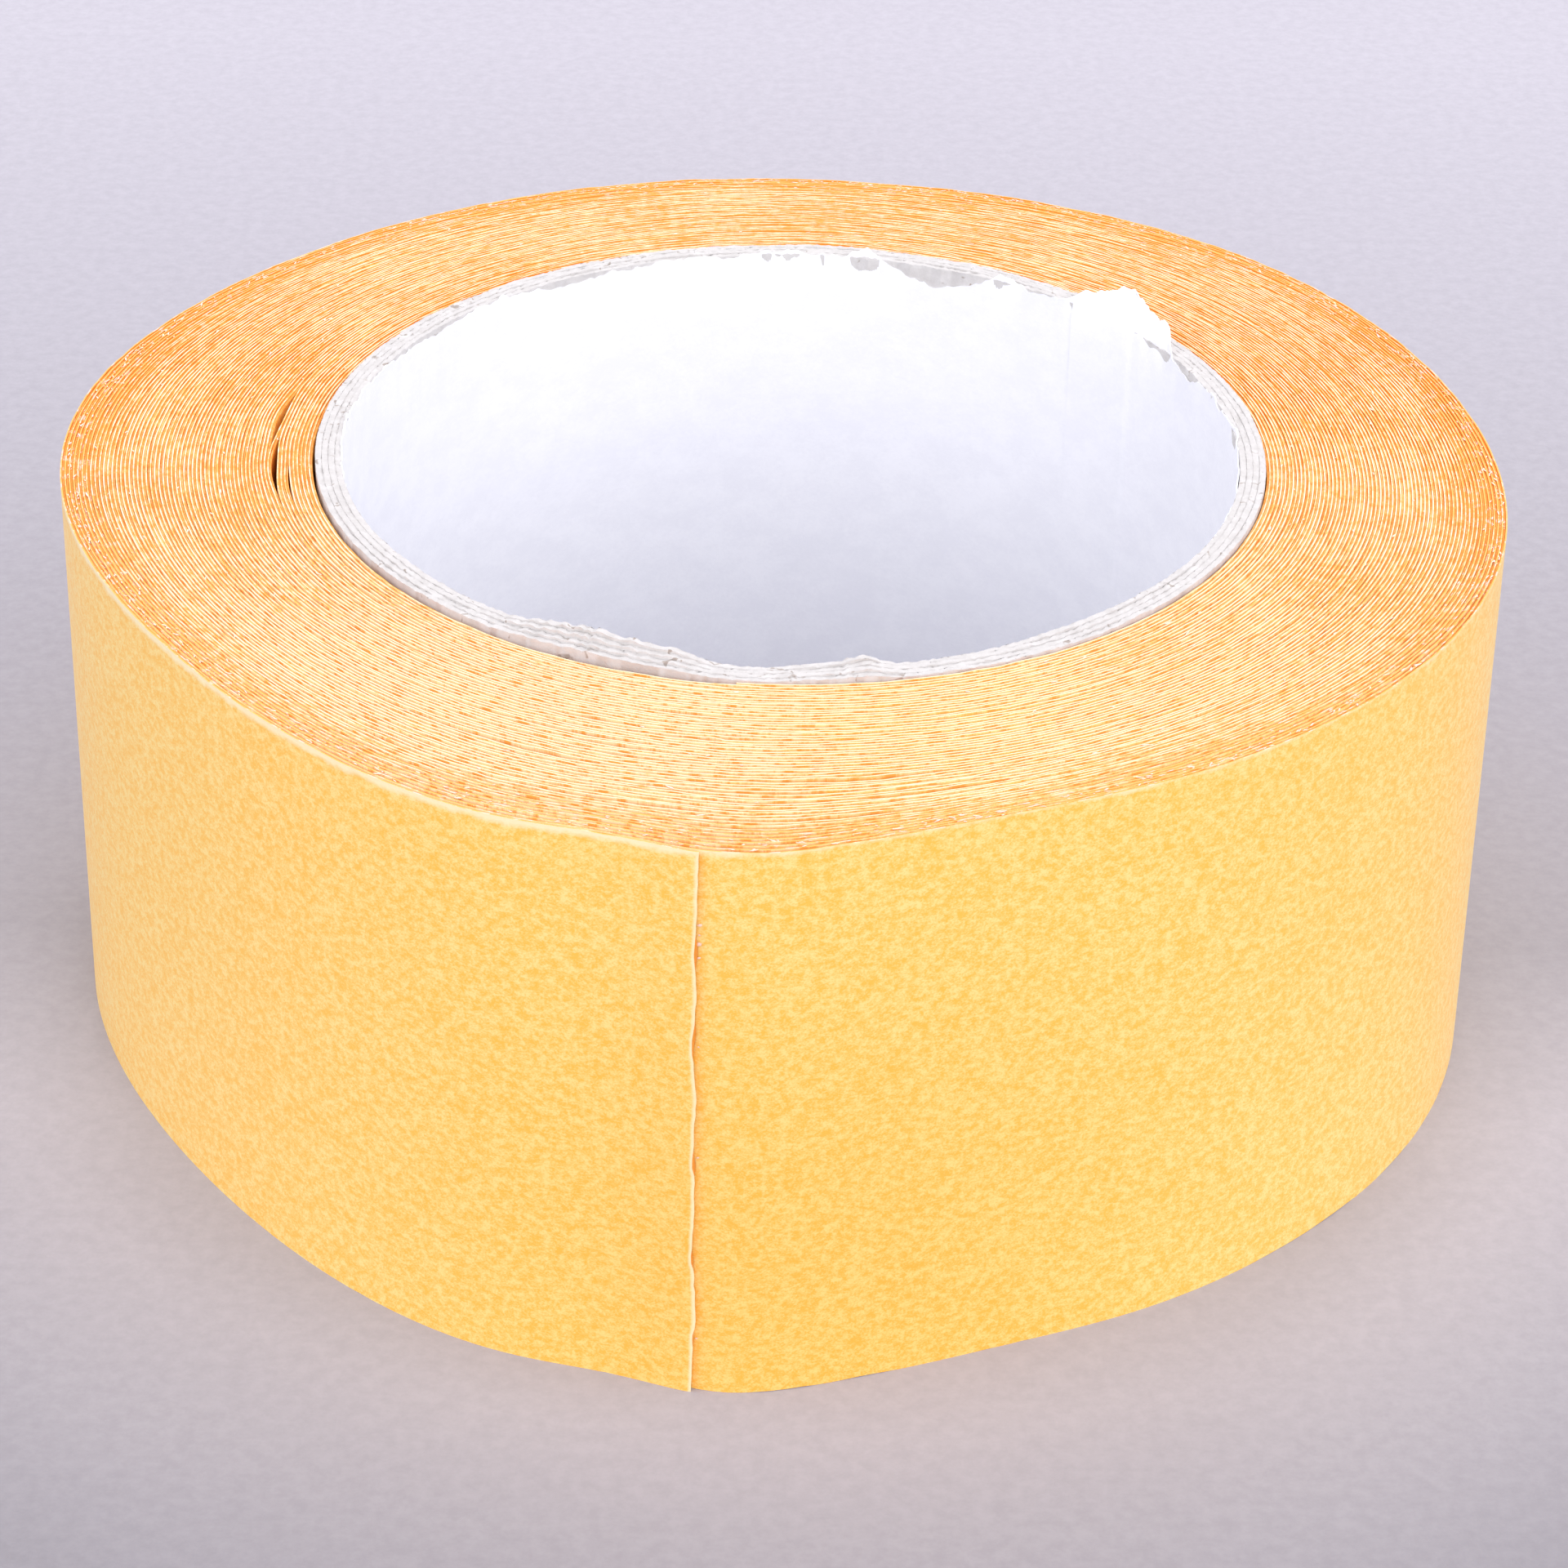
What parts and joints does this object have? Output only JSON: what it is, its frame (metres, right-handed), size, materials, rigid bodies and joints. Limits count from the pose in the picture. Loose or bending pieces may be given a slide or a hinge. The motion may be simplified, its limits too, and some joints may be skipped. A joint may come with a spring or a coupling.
{
  "type": "adhesive tape roll",
  "caption": "Roll of double-sided cloth tape with yellow release paper outwards, wound on a 3 inch paperboard core, with a free tail.",
  "frame": {"origin": "where the bore's axis meets the lower side face, which is the face that the roll lies on", "axes": "+Z along the bore's axis, from the lower side face to the upper one; the cut end of the tape is at the -Y side and its tip points to +X"},
  "size_m": [0.121, 0.1209, 0.05],
  "materials": {
    "white_paper": "matte",
    "core_board": "matte",
    "adhesive": "satin",
    "cloth": "matte",
    "release_paper": "satin"
  },
  "bodies": {
    "roll": {"core_inner_sheet": "white_paper", "core_board_ply_1": "core_board", "core_board_ply_2": "core_board", "core_board_ply_3": "core_board", "core_board_ply_4": "core_board", "inner_adhesive": "adhesive", "cloth_carrier": "cloth", "outer_adhesive": "adhesive", "release_paper": "release_paper"},
    "tail": {"tail_inner_adhesive": "adhesive", "tail_cloth_carrier": "cloth", "tail_outer_adhesive": "adhesive", "tail_held_paper": "release_paper"},
    "tail_paper": {"tail_loose_paper": "release_paper"}
  },
  "joints": [
    {"name": "tail_lift", "type": "hinge", "parent": "roll", "child": "tail", "pos_m": [-0.03192, -0.05517, 0.025], "axis": [0, 0, -1], "range_deg": [0, 90]},
    {"name": "paper_peel", "type": "hinge", "parent": "tail", "child": "tail_paper", "pos_m": [-0.02475, -0.05975, 0.025], "axis": [0, 0, -1], "range_deg": [0, 80]}
  ]
}
